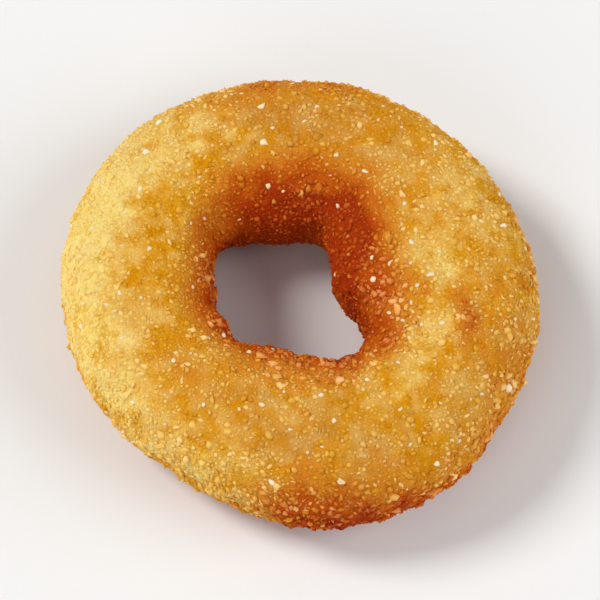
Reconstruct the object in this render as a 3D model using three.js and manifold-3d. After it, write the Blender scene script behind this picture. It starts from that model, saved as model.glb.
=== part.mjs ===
// A thick breaded onion ring lying flat: one solid of coated onion, with its coarse crumbs fused on.
// Millimetres, +Z up, the underside flat on z = 0 and the origin under the middle of the ring.
import * as THREE from 'three';
import { mergeVertices } from 'three/addons/utils/BufferGeometryUtils.js';
import { ImprovedNoise } from 'three/addons/math/ImprovedNoise.js';
import Module from 'manifold-3d';

// The ring: radii of its outer edge and of its hole, and its height.
const OUTER_RADIUS = 30.1;
const HOLE_RADIUS = 9.1;
const HEIGHT = 16.9;
const SECTION_POWER = 2.25; // 2 is an ellipse, more is boxier
const UNDERSIDE_TRIM = 0.4; // how much of the round underside the rest pressed flat

// Slow waves that make it out of round: how many to a turn, how high, and where the first crest stands.
const OUTER_WAVES = [
  { count: 2, rise: 1.05, crest: -48 },
  { count: 3, rise: 0.3, crest: 41 },
  { count: 4, rise: 0.2, crest: 16 },
  { count: 5, rise: 0.17, crest: -5 },
];
const HOLE_WAVES = [
  { count: 1, rise: 2.65, crest: -161 },
  { count: 2, rise: 1.6, crest: -53 },
  { count: 3, rise: 0.9, crest: -51 },
  { count: 4, rise: 0.7, crest: -43 },
  { count: 5, rise: 0.3, crest: 5 },
  { count: 6, rise: 0.25, crest: 19 },
];
const HEIGHT_WAVES = [
  { count: 1, rise: 0.2, crest: -86 },
  { count: 2, rise: 0.35, crest: 25 },
  { count: 3, rise: 0.2, crest: 70 },
];

// Bumps of the coating, from broad lumps to the roughness of the crumb, as a length and a height.
// Each layer takes its noise from another place, so that their crests don't fall together.
const LUMPS = [
  { length: 8.5, rise: 0.5 },
  { length: 4.2, rise: 0.28 },
  { length: 1.7, rise: 0.24 },
];
const LAYER_SHIFT = 17.3;

// The mesh of the bare ring, and the step in radians over which its slope is measured.
const STEPS_ROUND = 94;
const STEPS_SECTION = 38;
const SLOPE_STEP = 0.02;

// A coarse crumb: an uneven ball, pressed wider than it is high, its middle a little below the surface.
const CRUMB_SINK = 0.2; // as a share of its radius
const CRUMB_PROPORTIONS = [1.25, 1.0, 0.8];
const CORNER_REACH = { least: 0.78, most: 1.28 };
const FLOOR_GAP = 0.3; // no crumb comes nearer to the floor

// Where the crumbs are. A place is a turn round the ring and a turn round its section, both in degrees:
// section 0 is the outer side, 90 the top and 180 the wall of the hole.
const SEED = 20261;
const LOOSE_CRUMBS = { many: 54, smallest: 0.5, largest: 1.0, lowest: -35, highest: 215, astray: 0.4 };
const PATCH_SIZES = { least: 0.7, most: 1.2 }; // as shares of the patch's size of crumb
const RAISED_PATCHES = [
  // a clump on the left edge of the hole
  { round: 207, section: 156, crumbs: 7, spread: 2.1, size: 1.45 },
  // crumbs along the front edge of the hole
  { round: 256, section: 144, crumbs: 5, spread: 2.8, size: 1.0 },
  { round: 279, section: 146, crumbs: 5, spread: 2.8, size: 1.05 },
  { round: 303, section: 142, crumbs: 4, spread: 2.6, size: 0.95 },
  // browned crumbs on the right of the hole
  { round: 5, section: 138, crumbs: 7, spread: 3.2, size: 1.0 },
  // crust low on the front and on the right of it
  { round: 272, section: -24, crumbs: 7, spread: 5.0, size: 1.15 },
  { round: 310, section: -18, crumbs: 6, spread: 4.6, size: 1.1 },
  // a scuffed shoulder at the back left
  { round: 142, section: 62, crumbs: 6, spread: 4.0, size: 0.7 },
];

const GOLDEN_ANGLE = Math.PI * (3 - Math.sqrt(5));
const FULL_TURN = 2 * Math.PI;

const noise = new ImprovedNoise();
const toRadians = THREE.MathUtils.degToRad;
const between = THREE.MathUtils.lerp;

// A repeatable source of numbers from 0 to 1, by the multiply-and-remainder rule.
function randomSource(seed) {
  const multiplier = 48271;
  const modulus = 2 ** 31 - 1;
  let state = seed;
  return () => {
    state = (state * multiplier) % modulus;
    return state / modulus;
  };
}

function wavesAt(turn, waves) {
  const heights = waves.map((wave) => wave.rise * Math.cos(wave.count * (turn - toRadians(wave.crest))));
  return heights.reduce((sum, height) => sum + height, 0);
}

function signedPower(value, power) {
  return Math.sign(value) * Math.abs(value) ** power;
}

// The smooth ring's surface at a turn round the ring and a turn round its section, in radians.
function smoothPoint(turn, section) {
  const outer = OUTER_RADIUS + wavesAt(turn, OUTER_WAVES);
  const hole = HOLE_RADIUS + wavesAt(turn, HOLE_WAVES);
  const height = HEIGHT + wavesAt(turn, HEIGHT_WAVES);
  const across = ((outer - hole) / 2) * signedPower(Math.cos(section), 2 / SECTION_POWER);
  const up = (height / 2) * signedPower(Math.sin(section), 2 / SECTION_POWER);
  const radius = (outer + hole) / 2 + across;
  return new THREE.Vector3(radius * Math.cos(turn), radius * Math.sin(turn), height / 2 + up);
}

function outwardAt(turn, section) {
  const along = smoothPoint(turn + SLOPE_STEP, section).sub(smoothPoint(turn - SLOPE_STEP, section));
  const round = smoothPoint(turn, section + SLOPE_STEP).sub(smoothPoint(turn, section - SLOPE_STEP));
  return along.cross(round).normalize();
}

function lumpAt(point) {
  const heights = LUMPS.map(({ length, rise }, layer) => {
    const at = point.clone().divideScalar(length).addScalar(LAYER_SHIFT * (layer + 1));
    return rise * noise.noise(at.x, at.y, at.z);
  });
  return heights.reduce((sum, height) => sum + height, 0);
}

// The coated surface: the smooth ring with its lumps, pressed flat where it rests.
function coatedPoint(turn, section) {
  const point = smoothPoint(turn, section);
  point.addScaledVector(outwardAt(turn, section), lumpAt(point));
  point.z = Math.max(point.z - UNDERSIDE_TRIM, 0);
  return point;
}

function bareRing() {
  const positions = [];
  const triangles = [];
  for (let i = 0; i < STEPS_ROUND; i += 1) {
    for (let j = 0; j < STEPS_SECTION; j += 1) {
      const turn = (FULL_TURN * i) / STEPS_ROUND;
      const section = (FULL_TURN * j) / STEPS_SECTION;
      positions.push(...coatedPoint(turn, section).toArray());
      const here = i * STEPS_SECTION + j;
      const above = i * STEPS_SECTION + ((j + 1) % STEPS_SECTION);
      const next = ((i + 1) % STEPS_ROUND) * STEPS_SECTION + j;
      const across = ((i + 1) % STEPS_ROUND) * STEPS_SECTION + ((j + 1) % STEPS_SECTION);
      triangles.push(here, next, across, here, across, above);
    }
  }
  const geometry = new THREE.BufferGeometry();
  geometry.setAttribute('position', new THREE.Float32BufferAttribute(positions, 3));
  geometry.setIndex(triangles);
  return geometry;
}

// A ball of twenty faces with its corners pulled in and out at random.
function unevenBall(size, random) {
  const faces = new THREE.IcosahedronGeometry(size, 0);
  faces.deleteAttribute('normal');
  faces.deleteAttribute('uv');
  const ball = mergeVertices(faces);
  const corners = ball.getAttribute('position');
  for (let i = 0; i < corners.count; i += 1) {
    const reach = between(CORNER_REACH.least, CORNER_REACH.most, random());
    corners.setXYZ(i, corners.getX(i) * reach, corners.getY(i) * reach, corners.getZ(i) * reach);
  }
  return ball;
}

// One angular crumb, turned at random, pressed towards the coat and kept clear of the floor.
function crumb(place, outward, size, random) {
  const geometry = unevenBall(size, random);
  const turned = new THREE.Euler(FULL_TURN * random(), FULL_TURN * random(), FULL_TURN * random());
  geometry.applyMatrix4(new THREE.Matrix4().makeRotationFromEuler(turned));
  geometry.scale(...CRUMB_PROPORTIONS);
  geometry.applyQuaternion(new THREE.Quaternion().setFromUnitVectors(new THREE.Vector3(0, 0, 1), outward));
  geometry.translate(...place.clone().addScaledVector(outward, -CRUMB_SINK * size).toArray());
  geometry.computeBoundingBox();
  return geometry.translate(0, 0, Math.max(FLOOR_GAP - geometry.boundingBox.min.z, 0));
}

function crumbAt(turn, section, size, random) {
  return crumb(coatedPoint(turn, section), outwardAt(turn, section), size, random);
}

// The crumbs of a patch, spread evenly over a disc as the seeds of a sunflower are.
function patchCrumbs(patch, random) {
  const middle = smoothPoint(toRadians(patch.round), toRadians(patch.section));
  const radius = Math.hypot(middle.x, middle.y);
  const sectionRadius = HEIGHT / 2;
  return Array.from({ length: patch.crumbs }, (_, i) => {
    const reach = patch.spread * Math.sqrt((i + 0.5) / patch.crumbs);
    const heading = GOLDEN_ANGLE * i + random();
    const turn = toRadians(patch.round) + (reach * Math.cos(heading)) / radius;
    const section = toRadians(patch.section) + (reach * Math.sin(heading)) / sectionRadius;
    const size = patch.size * between(PATCH_SIZES.least, PATCH_SIZES.most, random());
    return crumbAt(turn, section, size, random);
  });
}

// Loose crumbs, spread evenly over all but the underside, most of them small.
function looseCrumbs(random) {
  const { many, smallest, largest, lowest, highest, astray } = LOOSE_CRUMBS;
  return Array.from({ length: many }, (_, i) => {
    const turn = GOLDEN_ANGLE * i + astray * random();
    const section = toRadians(between(lowest, highest, random()));
    return crumbAt(turn, section, between(smallest, largest, random() ** 2), random);
  });
}

function solidFrom(wasm, geometry) {
  const vertProperties = Float32Array.from(geometry.getAttribute('position').array);
  const triVerts = Uint32Array.from(geometry.getIndex().array);
  return new wasm.Manifold(new wasm.Mesh({ numProp: 3, vertProperties, triVerts }));
}

function geometryFrom(solid) {
  const { vertProperties, triVerts } = solid.getMesh();
  const geometry = new THREE.BufferGeometry();
  geometry.setAttribute('position', new THREE.BufferAttribute(vertProperties, 3));
  geometry.setIndex(new THREE.BufferAttribute(triVerts, 1));
  return geometry;
}

// Puts the middle of the underside's outline at the origin.
function centred(geometry) {
  geometry.computeBoundingBox();
  const middle = geometry.boundingBox.getCenter(new THREE.Vector3());
  return geometry.translate(-middle.x, -middle.y, -geometry.boundingBox.min.z);
}

function ringGeometry(wasm) {
  const random = randomSource(SEED);
  const crumbs = [...RAISED_PATCHES.flatMap((patch) => patchCrumbs(patch, random)), ...looseCrumbs(random)];
  const bare = solidFrom(wasm, bareRing());
  const coated = crumbs.reduce((solid, piece) => solid.add(solidFrom(wasm, piece)), bare);
  return centred(geometryFrom(coated));
}

const wasm = await Module();
wasm.setup();

const goldenCrumb = new THREE.MeshStandardMaterial({ color: 0xd99a35, roughness: 0.72, metalness: 0 });
const ring = new THREE.Mesh(ringGeometry(wasm), goldenCrumb);
ring.name = 'ring';

const onionRing = new THREE.Group();
onionRing.add(ring);

export default onionRing;
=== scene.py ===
"""Dresses one breaded onion ring: its crumb coat, the crumbs and salt on it, and a pale studio round it.

Everything is in metres, +Z up. A place on the ring is a turn round its middle, 0 towards +X and
90 towards +Y, and a section angle round the ring's own thickness: 0 on the outer side, 90 on top,
180 on the wall of the hole and 270 on the underside. Both are in degrees.
"""

import logging
import math
from dataclasses import asdict, dataclass, fields
from enum import Enum
from functools import cache
from itertools import product
from typing import ClassVar

import bmesh
import bpy
import numpy as np
from bpy.types import Material, Node, NodeSocket, NodeTree, Object
from mathutils import Euler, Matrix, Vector
from mathutils.bvhtree import BVHTree
from mathutils.kdtree import KDTree

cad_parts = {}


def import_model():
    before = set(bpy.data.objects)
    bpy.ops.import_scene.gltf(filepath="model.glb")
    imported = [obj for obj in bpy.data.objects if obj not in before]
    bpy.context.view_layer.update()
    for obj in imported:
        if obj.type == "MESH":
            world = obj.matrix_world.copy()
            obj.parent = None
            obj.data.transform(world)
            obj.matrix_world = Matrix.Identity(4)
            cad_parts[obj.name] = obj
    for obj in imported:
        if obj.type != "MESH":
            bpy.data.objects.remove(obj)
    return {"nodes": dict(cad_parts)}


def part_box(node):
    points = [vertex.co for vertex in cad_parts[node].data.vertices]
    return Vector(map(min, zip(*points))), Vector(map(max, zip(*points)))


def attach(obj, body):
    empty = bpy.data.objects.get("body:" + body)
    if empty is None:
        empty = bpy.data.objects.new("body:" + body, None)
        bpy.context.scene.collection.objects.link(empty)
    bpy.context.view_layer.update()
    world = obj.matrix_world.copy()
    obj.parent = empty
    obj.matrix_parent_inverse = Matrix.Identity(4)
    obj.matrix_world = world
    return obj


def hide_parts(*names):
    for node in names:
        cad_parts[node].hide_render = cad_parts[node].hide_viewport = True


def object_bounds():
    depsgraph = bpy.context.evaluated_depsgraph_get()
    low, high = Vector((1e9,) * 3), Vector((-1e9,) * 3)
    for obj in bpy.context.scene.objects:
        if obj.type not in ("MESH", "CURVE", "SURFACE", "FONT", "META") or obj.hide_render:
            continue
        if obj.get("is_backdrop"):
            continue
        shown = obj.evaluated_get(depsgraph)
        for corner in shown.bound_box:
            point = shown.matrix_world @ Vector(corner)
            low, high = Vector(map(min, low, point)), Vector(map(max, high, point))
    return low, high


log = logging.getLogger("onion_ring")

MM = 0.001
BODY = "root"
SOLID = "ring"
BAKE_MAP = "OFBake"
MIDDLE_GRAIN = 0.45  # the height at which the coat's own grains neither add to it nor take from it

Range = tuple[float, float]
Colour = tuple[float, float, float, float]


def linear(red: int, green: int, blue: int) -> Colour:
    """Turns a colour as seen on a screen into light.

    Args:
        red: Red, 0 to 255.
        green: Green, 0 to 255.
        blue: Blue, 0 to 255.

    Returns:
        The colour in linear light, with full alpha.
    """
    shares = (value / 255 for value in (red, green, blue))
    light = (s / 12.92 if s <= 0.04045 else ((s + 0.055) / 1.055) ** 2.4 for s in shares)
    return (*light, 1.0)


def eased(value: np.ndarray, start: float, end: float) -> np.ndarray:
    """Rises smoothly from 0 at start to 1 at end, or falls, where end is the smaller of the two."""
    share = np.clip((value - start) / (end - start), 0.0, 1.0)
    return share * share * (3 - 2 * share)


def turn_between(angle: np.ndarray, middle: float) -> np.ndarray:
    """How far angles lie from a middle, the short way round, from -180 to 180 degrees."""
    return (angle - middle + 180.0) % 360.0 - 180.0


def direction(azimuth: float, elevation: float) -> Vector:
    """Points to a place round the ring, its azimuth 0 in front and 90 on the right, in degrees."""
    turn, rise = math.radians(azimuth), math.radians(elevation)
    return Vector((math.sin(turn) * math.cos(rise), -math.cos(turn) * math.cos(rise), math.sin(rise)))


class Lattice:
    """Repeatable random numbers tied to the cells of a lattice, and the noises made from them."""

    PRIMES: ClassVar[tuple[int, int, int]] = (73856093, 19349663, 83492791)
    SEED_STEP: ClassVar[int] = 2654435761
    LAYER_STEP: ClassVar[int] = 40503
    STIR: ClassVar[int] = 0x45D9F3B
    MASK: ClassVar[int] = 0xFFFFFFFF
    CROWN: ClassVar[Range] = (0.45, 0.55)
    REACH: ClassVar[float] = 0.72

    def __init__(self, seed: int) -> None:
        """Takes the seed that all its numbers come from."""
        self.seed = seed

    def number(self, cell: np.ndarray, layer: int = 0) -> np.ndarray:
        """One random number for each cell.

        Args:
            cell: Whole-number cell places, one row of three each.
            layer: Picks another set of numbers for the same cells.

        Returns:
            Numbers from 0 to 1, one for each row.
        """
        start = self.seed * self.SEED_STEP + layer * self.LAYER_STEP
        mixed = np.full(len(cell), start, dtype=np.int64) & self.MASK
        for axis, prime in enumerate(self.PRIMES):
            mixed ^= (cell[:, axis] * prime) & self.MASK
        for _ in range(2):
            mixed = ((mixed ^ (mixed >> 16)) * self.STIR) & self.MASK
        return (mixed ^ (mixed >> 16)) / self.MASK

    def smooth(self, places: np.ndarray, length: float) -> np.ndarray:
        """Smooth noise with bumps of about one length.

        Args:
            places: Points, one row of three each.
            length: The size of a lattice cell, in the same unit.

        Returns:
            Numbers from -1 to 1.
        """
        scaled = places / length
        cell = np.floor(scaled).astype(np.int64)
        within = scaled - cell
        ease = within**3 * (within * (within * 6 - 15) + 10)
        total = np.zeros(len(places))
        for corner in product((0, 1), repeat=3):
            at = np.array(corner)
            weight = np.prod(np.where(at == 1, ease, 1 - ease), axis=1)
            total += weight * (2 * self.number(cell + at) - 1)
        return total

    def grains(self, places: np.ndarray, length: float) -> np.ndarray:
        """Round bumps of random height, one to a lattice cell, as packed grains make.

        Args:
            places: Points, one row of three each.
            length: The size of a lattice cell, in the same unit.

        Returns:
            Heights from 0 to 1.
        """
        scaled = places / length
        cell = np.floor(scaled).astype(np.int64)
        lowest, more = self.CROWN
        highest = np.zeros(len(places))
        for shift in product((-1, 0, 1), repeat=3):
            near = cell + np.array(shift)
            middle = near + np.stack([self.number(near, layer) for layer in (1, 2, 3)], axis=1)
            apart = np.sum((scaled - middle) ** 2, axis=1)
            height = (lowest + more * self.number(near, 4)) * np.clip(1 - apart / self.REACH, 0, 1)
            highest = np.maximum(highest, height)
        return highest


class Trait(Enum):
    """What sets a patch of the coat apart."""

    # Browned patches; some of them are painted shade, and one negative one is painted light.
    BROWNED = "browned"
    # Pale patches, partly uneven frying and partly painted highlight.
    PALE = "pale"
    # Painted shade: darker golden where less light falls.
    DEEP = "deep"
    BARE = "bare"
    CRAGGY = "craggy"


@dataclass(frozen=True)
class Patch:
    """A patch of the coat with a soft, uneven edge: its middle in degrees, its size in millimetres."""

    turn: float
    section: float
    wide: float
    high: float
    strength: float


PATCHES: dict[Trait, tuple[Patch, ...]] = {
    Trait.BROWNED: (
        Patch(356, 122, 4.4, 2.2, 0.10),
        Patch(326, 134, 6.0, 2.6, 0.36),
        Patch(344, 70, 4.2, 1.6, 0.42),
        Patch(273, 26, 1.9, 3.4, 0.34),
        # The dark foot at the front: browned crust, partly painted shade.
        Patch(279, -6, 6.8, 5.2, 1.00),
        Patch(308, -16, 8.0, 4.4, 0.24),
        Patch(338, 24, 10.0, 5.4, 0.28),
        Patch(292, 40, 1.5, 2.6, 0.16),
        Patch(238, 126, 11.0, 4.2, 0.24),
        Patch(274, 130, 9.0, 2.4, 0.24),
        Patch(262, 78, 9.0, 5.0, 0.08),
        # Darker along the outer edge at the right: partly browned, partly painted shade.
        Patch(22, 6, 18.0, 3.2, 0.12),
        # Painted shade on the hole's back right wall.
        Patch(42, 154, 7.0, 4.0, 0.62),
        Patch(62, 102, 9.0, 3.0, 0.22),
        # Painted light: lighter on the hole's back left wall, where the key light's shadow falls.
        Patch(148, 138, 11.0, 6.0, -0.43),
        # Darker along the back edge: partly browned, partly painted shade.
        Patch(94, 27, 11.0, 2.8, 0.42),
        Patch(228, 84, 6.0, 2.4, 0.12),
        Patch(88, 64, 14.0, 4.8, 0.14),
        Patch(192, 122, 5.0, 2.6, 0.08),
        Patch(352, 106, 1.3, 1.3, 0.40),
        Patch(254, -8, 6.0, 3.4, -0.20),
    ),
    # Partly uneven frying, partly painted highlight, most of all along the left shoulder where the key
    # light falls.
    Trait.PALE: (
        Patch(150, 37, 12.0, 4.8, 0.90),
        Patch(184, 41, 9.0, 4.6, 0.80),
        Patch(170, 10, 17.0, 3.4, 0.60),
        Patch(212, 40, 8.0, 5.0, 0.27),
        Patch(8, 44, 10.0, 5.0, 0.22),
        Patch(142, 71, 8.0, 3.8, 0.75),
        Patch(120, 78, 5.0, 3.0, 0.30),
        Patch(244, 16, 10.0, 4.4, 0.35),
        Patch(3, 83, 4.6, 3.0, 0.60),
        Patch(30, 52, 4.4, 2.6, 0.25),
        Patch(320, 98, 7.0, 3.0, 0.55),
    ),
    # Painted shade on the crowns at the back and the front, where less light falls.
    Trait.DEEP: (
        Patch(90, 76, 13.0, 5.2, 0.95),
        Patch(276, 74, 13.0, 6.0, 0.60),
        Patch(342, 62, 6.0, 3.0, 0.40),
        Patch(270, 56, 4.0, 3.0, 0.35),
    ),
    Trait.BARE: (Patch(8, 166, 3.4, 3.2, 1.10),),
    Trait.CRAGGY: (
        Patch(0, 128, 8.0, 4.5, 1.00),
        Patch(330, 130, 6.0, 3.5, 1.00),
        Patch(290, 140, 8.0, 3.2, 1.00),
        Patch(258, 140, 5.5, 3.0, 1.00),
        Patch(214, 146, 4.0, 3.0, 1.00),
        Patch(70, 150, 11.0, 5.0, 0.45),
        Patch(175, 160, 9.0, 4.0, 0.60),
        Patch(275, -6, 12.0, 5.0, 0.90),
        Patch(312, 0, 10.0, 4.0, 0.80),
        Patch(346, 10, 9.0, 4.0, 0.60),
        Patch(244, 8, 9.0, 3.4, 0.60),
        Patch(344, 72, 5.0, 2.4, 0.70),
        Patch(80, 66, 10.0, 4.0, 0.35),
        Patch(110, -10, 16.0, 6.0, 0.45),
        Patch(20, -4, 14.0, 5.0, 0.50),
    ),
}


@dataclass(frozen=True)
class Spots:
    """Points of the coat, with the turn and the section angle of each."""

    places: np.ndarray
    turn: np.ndarray
    section: np.ndarray


@dataclass(frozen=True)
class FryingAndPaintedLightMap:
    """Where the coat is browner, paler, bare of crumbs or craggy, partly from frying and partly as painted
    light and shade.

    A noise is given by how far it is shifted and by its length.
    """

    blotch: Lattice = Lattice(5)
    ring_radius: float = 20.0 * MM
    section_radius: float = 9.3 * MM
    wander: float = 1.3 * MM
    across_noise: Range = (0.0, 2.6 * MM)
    up_noise: Range = (1.0, 2.6 * MM)
    wall_start: float = 105.0
    wall_sooner_right: float = 2.0
    wall_sooner_back: float = 13.0
    wall_rise: Range = (0.0, 58.0)
    wall_end: Range = (266.0, 236.0)
    skirt: float = 0.55
    skirt_turn: float = 305.0
    skirt_shares: Range = (0.2, 0.8)
    skirt_start: Range = (16.0, -38.0)
    skirt_end: Range = (-120.0, -70.0)
    underside: float = 0.4
    underside_edge: Range = (62.0, 34.0)
    browned_noises: tuple[Range, ...] = ((0.0, 5.5 * MM), (0.0, 2.1 * MM))
    browned_unevenness: Range = (0.35, 0.07)
    pale_noises: tuple[Range, ...] = ((0.5, 4.0 * MM), (0.9, 1.6 * MM))
    pale_unevenness: tuple[float, float, float] = (0.28, 0.45, 0.1)
    craggy_noises: tuple[Range, ...] = ((1.7, 3.4 * MM),)
    craggy_unevenness: Range = (0.5, 0.18)
    craggy_everywhere: float = 0.08

    def _noise(self, spots: Spots, *noises: Range) -> np.ndarray:
        """Adds up noises."""
        return sum(self.blotch.smooth(spots.places + shift, length) for shift, length in noises)

    def _patched(self, spots: Spots, trait: Trait) -> np.ndarray:
        """Adds up the patches with one trait.

        Args:
            spots: Where to look.
            trait: Which patches to add.

        Returns:
            Their strength at each place.
        """
        astray = self.wander * self._noise(spots, self.across_noise)
        adrift = self.wander * self._noise(spots, self.up_noise)
        total = np.zeros(len(spots.turn))
        for patch in PATCHES[trait]:
            across = np.radians(turn_between(spots.turn, patch.turn)) * self.ring_radius + astray
            up = np.radians(turn_between(spots.section, patch.section)) * self.section_radius + adrift
            wide, high = patch.wide * MM, patch.high * MM
            total += patch.strength * np.exp(-((across / wide) ** 2) - (up / high) ** 2)
        return total

    def _wall(self, spots: Spots) -> np.ndarray:
        """How far the hole's wall is browned, painted darker still as the shade deep in the hole; it starts
        higher up at the back.

        Args:
            spots: Where to look.

        Returns:
            0 to 1 at each place.
        """
        sideways, back = np.cos(np.radians(spots.turn)), np.sin(np.radians(spots.turn))
        start = self.wall_start - self.wall_sooner_right * sideways - self.wall_sooner_back * back
        return eased(spots.section - start, *self.wall_rise) * eased(spots.section, *self.wall_end)

    def _skirt(self, spots: Spots) -> np.ndarray:
        """Browner low on the outer side, most of it at the front right, away from the key light: partly
        browned crust, partly painted shade.

        Args:
            spots: Where to look.

        Returns:
            0 to 1 at each place.
        """
        front_right = 0.5 + 0.5 * np.cos(np.radians(turn_between(spots.turn, self.skirt_turn)))
        everywhere, there = self.skirt_shares
        lower = turn_between(spots.section, 0)
        shares = everywhere + there * front_right**2
        return shares * eased(lower, *self.skirt_start) * eased(lower, *self.skirt_end)

    def browning(self, spots: Spots) -> np.ndarray:
        """How brown the coat is, with painted shade in the hole and along the rim and, where a patch takes
        some away, painted light.

        Args:
            spots: Where to look.

        Returns:
            0 for golden to 1 for the brownest and most shaded.
        """
        below = np.abs(turn_between(spots.section, 270))
        under = self.underside * eased(below, *self.underside_edge)
        patched = self._patched(spots, Trait.BROWNED)
        # The wall, the skirt and some patches add painted shade as well as brown crust; one patch adds
        # painted light.
        even = self._wall(spots) + self.skirt * self._skirt(spots) + patched + under
        rough = 0.5 * self._noise(spots, *self.browned_noises)
        more, added = self.browned_unevenness
        return np.clip(even * (1 + more * rough) + added * rough, 0, 1)

    def paleness(self, spots: Spots) -> np.ndarray:
        """How pale the coat is, partly from uneven frying and partly as painted highlight, or how much
        deeper than golden it is, as painted shade.

        Args:
            spots: Where to look.

        Returns:
            0 for golden, up to 1 for the palest and down to -1 for the deepest.
        """
        rough = self._noise(spots, *self.pale_noises)
        paler, deeper, added = self.pale_unevenness
        pale = self._patched(spots, Trait.PALE) * (1 + paler * rough)
        # The deeper patches are painted shade.
        deep = self._patched(spots, Trait.DEEP) * (1 - deeper * rough)
        return np.clip(pale - deep + added * rough, -1, 1)

    def bareness(self, spots: Spots) -> np.ndarray:
        """How much of the crumb is missing, from 0 for full crumb to 1 for none."""
        return np.clip(self._patched(spots, Trait.BARE), 0, 1)

    def cragginess(self, spots: Spots) -> np.ndarray:
        """How coarse and broken the crumb stands.

        Args:
            spots: Where to look.

        Returns:
            0 for an even, fine crumb to 1 for the coarsest.
        """
        rough = self._noise(spots, *self.craggy_noises)
        more, added = self.craggy_unevenness
        patched = self._patched(spots, Trait.CRAGGY) * (1 + more * rough)
        return np.clip(patched + added * rough + self.craggy_everywhere, 0, 1)


@dataclass
class Surface:
    """The coat's surface as a closed grid, round the ring and round its section."""

    places: np.ndarray
    normals: np.ndarray
    relief: np.ndarray
    browning: np.ndarray
    paleness: np.ndarray
    bareness: np.ndarray
    cragginess: np.ndarray
    mottle: np.ndarray

    @property
    def flat_places(self) -> np.ndarray:
        """The places as one long list."""
        return self.places.reshape(-1, 3)

    @property
    def flat_normals(self) -> np.ndarray:
        """The outward directions as one long list."""
        return self.normals.reshape(-1, 3)


class Sheet:
    """A node tree with short ways to add and join nodes."""

    def __init__(self, tree: NodeTree) -> None:
        """Takes the tree to work in."""
        self.tree = tree

    def add(self, kind: str, values: dict | None = None, **settings: object) -> Node:
        """Adds a node.

        Args:
            kind: The node's type, without the ShaderNode in front.
            values: For its sockets, by name or number: a plain value, or a socket to join.
            **settings: For its own properties.

        Returns:
            The new node.
        """
        node = self.tree.nodes.new(kind if kind.startswith("NodeGroup") else f"ShaderNode{kind}")
        for name, value in settings.items():
            setattr(node, name, value)
        for name, value in (values or {}).items():
            self.feed(node.inputs[name], value)
        return node

    def feed(self, socket: NodeSocket, value: object) -> None:
        """Joins a socket to another, or sets its value.

        Args:
            socket: The socket to feed.
            value: A plain value, or a socket to join.
        """
        if isinstance(value, NodeSocket):
            self.tree.links.new(value, socket)
        else:
            socket.default_value = value

    def dress(self, values: dict) -> None:
        """Feeds the sockets of the material's own shader, by name."""
        for name, value in values.items():
            self.feed(self.tree.nodes["Principled BSDF"].inputs[name], value)

    def named(self, name: str) -> NodeSocket:
        """The value of a mesh attribute."""
        return self.add("Attribute", attribute_name=name).outputs["Fac"]

    def plus(self, first: object, second: object) -> NodeSocket:
        """Adds two numbers or sockets."""
        return self.add("Math", {0: first, 1: second}, operation="ADD").outputs[0]

    def times(self, first: object, second: object) -> NodeSocket:
        """Multiplies two numbers or sockets."""
        return self.add("Math", {0: first, 1: second}, operation="MULTIPLY").outputs[0]

    def rest(self, taken: object) -> NodeSocket:
        """What a number or socket leaves of 1, and never less than 0."""
        return self.add("Math", {0: 1.0, 1: taken}, operation="SUBTRACT", use_clamp=True).outputs[0]

    def blend(self, share: object, first: object, second: object) -> NodeSocket:
        """Mixes two colours or sockets; the share is how much of the second shows."""
        node = self.add("Mix", {0: share, 6: first, 7: second}, data_type="RGBA", clamp_factor=True)
        return node.outputs[2]

    def spread(self, value: object, low: float, high: float) -> NodeSocket:
        """Stretches the range from low to high over 0 to 1, with a smooth start and end."""
        node = self.add("MapRange", {0: value, 1: low, 2: high}, interpolation_type="SMOOTHSTEP")
        return node.outputs[0]

    def ramp(self, value: object, low: float, high: float) -> NodeSocket:
        """Lays the range from 0 to 1 over low to high."""
        return self.add("MapRange", {0: value, 3: low, 4: high}).outputs[0]


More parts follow.
